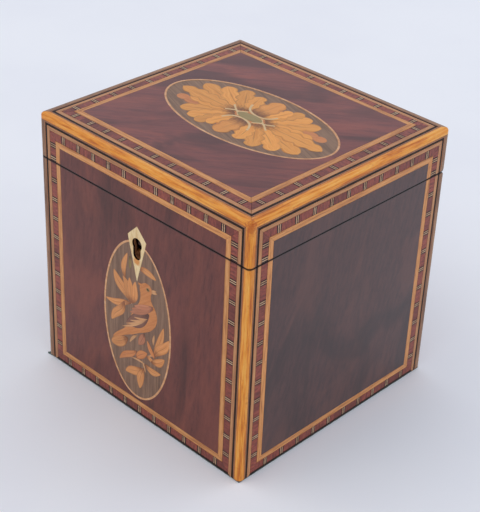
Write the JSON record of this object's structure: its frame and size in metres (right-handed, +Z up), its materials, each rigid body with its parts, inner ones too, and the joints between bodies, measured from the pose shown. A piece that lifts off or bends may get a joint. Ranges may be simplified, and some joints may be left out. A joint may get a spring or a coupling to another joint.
{
  "type": "tea caddy",
  "caption": "Cube-shaped inlaid wooden tea caddy with a hinged lid, kite escutcheon, sliding-bolt lock and a loose inner lid over a foil-lined compartment.",
  "frame": {"origin": "middle of the underside, on the surface the caddy stands on", "axes": "+Z up; the front with the keyhole faces -Y; +X to the right seen from the front"},
  "size_m": [0.12, 0.116, 0.121],
  "materials": {
    "mahogany_veneer": "dark figured mahogany, French polished",
    "carcase_wood": "plain mahogany, waxed",
    "inner_mahogany": "plain mahogany, polished",
    "boxwood": "golden boxwood, polished",
    "banding": "red cross-cut banding with pale and dark lines, polished",
    "harewood": "grey-brown harewood, polished",
    "light_line": "pale pinkish line, polished",
    "marquetry": "sand-shaded satinwood, polished",
    "bone": "smooth aged bone",
    "brass": "dull brass",
    "steel": "dull steel",
    "tin_foil": "dull tin foil",
    "baize": "dark green wool baize"
  },
  "bodies": {
    "box": {"front_board": "carcase_wood", "back_board": "carcase_wood", "left_board": "carcase_wood", "right_board": "carcase_wood", "base_board": "carcase_wood", "base_baize": "baize", "front_veneer": "mahogany_veneer", "back_veneer": "mahogany_veneer", "left_veneer": "mahogany_veneer", "right_veneer": "mahogany_veneer", "front_banding": "banding", "back_banding": "banding", "left_banding": "banding", "right_banding": "banding", "body_corner_edging": "boxwood", "bird_oval_ground": "harewood", "bird_oval_line": "light_line", "bird_marquetry": "marquetry", "escutcheon": "bone", "lock_case": "brass", "lock_cap": "brass", "lock_drill_pin": "steel", "lock_screws": "steel", "hinge_left_body_leaf": "brass", "hinge_right_body_leaf": "brass", "hinge_left_pin": "steel", "hinge_right_pin": "steel", "hinge_body_screws": "steel", "foil_lining": "tin_foil", "ledge_fillets": "carcase_wood"},
    "lid": {"lid_top_board": "carcase_wood", "lid_front_rim": "carcase_wood", "lid_back_rim": "carcase_wood", "lid_left_rim": "carcase_wood", "lid_right_rim": "carcase_wood", "lid_top_veneer": "mahogany_veneer", "lid_front_veneer": "mahogany_veneer", "lid_back_veneer": "mahogany_veneer", "lid_left_veneer": "mahogany_veneer", "lid_right_veneer": "mahogany_veneer", "lid_top_banding": "banding", "lid_front_banding": "banding", "lid_back_banding": "banding", "lid_left_banding": "banding", "lid_right_banding": "banding", "lid_top_edging": "boxwood", "lid_corner_edging": "boxwood", "patera_ground": "harewood", "patera_line": "light_line", "patera_marquetry": "marquetry", "link_plate": "brass", "link_plate_screws": "steel", "hinge_left_lid_leaf": "brass", "hinge_right_lid_leaf": "brass", "hinge_lid_screws": "steel"},
    "bolt": {"lock_bolt": "brass", "bolt_spring": "steel"},
    "inner_lid": {"inner_lid_board": "inner_mahogany", "inner_lid_knob": "bone", "inner_lid_foil": "tin_foil"}
  },
  "joints": [
    {"name": "lid_hinge", "type": "hinge", "parent": "box", "child": "lid", "pos_m": [0, 0.0562, 0.101], "axis": [-1, 0, 0], "range_deg": [0, 95]},
    {"name": "bolt_throw", "type": "slide", "parent": "box", "child": "bolt", "axis": [1, 0, 0], "range_m": [0, 0.004]},
    {"name": "inner_lid_lift", "type": "slide", "parent": "box", "child": "inner_lid", "axis": [0, 0, 1], "range_m": [0, 0.03]}
  ],
  "couplings": [
    {"joint": "inner_lid_lift", "follows": "lid_hinge", "m_per_rad": 0.018}
  ]
}
